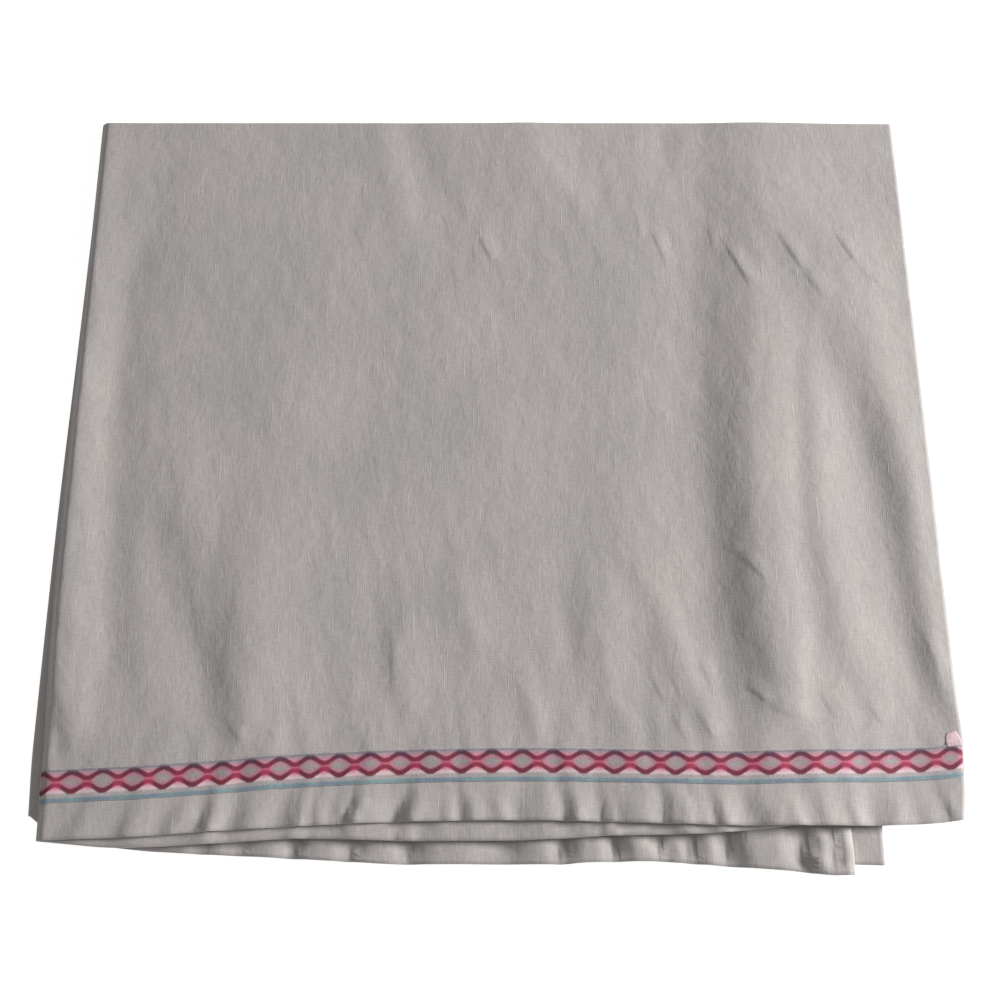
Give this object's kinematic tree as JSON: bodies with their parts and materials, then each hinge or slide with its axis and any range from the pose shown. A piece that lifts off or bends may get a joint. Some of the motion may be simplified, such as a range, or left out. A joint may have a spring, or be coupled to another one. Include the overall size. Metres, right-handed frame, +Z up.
{
  "type": "tablecloth",
  "caption": "Square linen tablecloth folded in four, with turned hems and a patterned woven ribbon sewn along one hem.",
  "frame": {"origin": "on the surface that the cloth rests on, under the middle of the whole part", "axes": "+Z up, +X along the hems towards their free side edge, away from the first fold, +Y towards the last fold, so the open hems look towards -Y"},
  "size_m": [0.7812, 0.7294, 0.0173],
  "materials": {
    "linen": "matt plain-woven natural grey linen with slubs and soft creases",
    "ribbon": "woven cotton ribbon with a wavy diamond border in reds and pinks on grey, a grey-blue line along its near side and a thin grey one along its far side"
  },
  "bodies": {
    "root": {"cloth": "linen", "ribbon": "ribbon"}
  },
  "joints": []
}
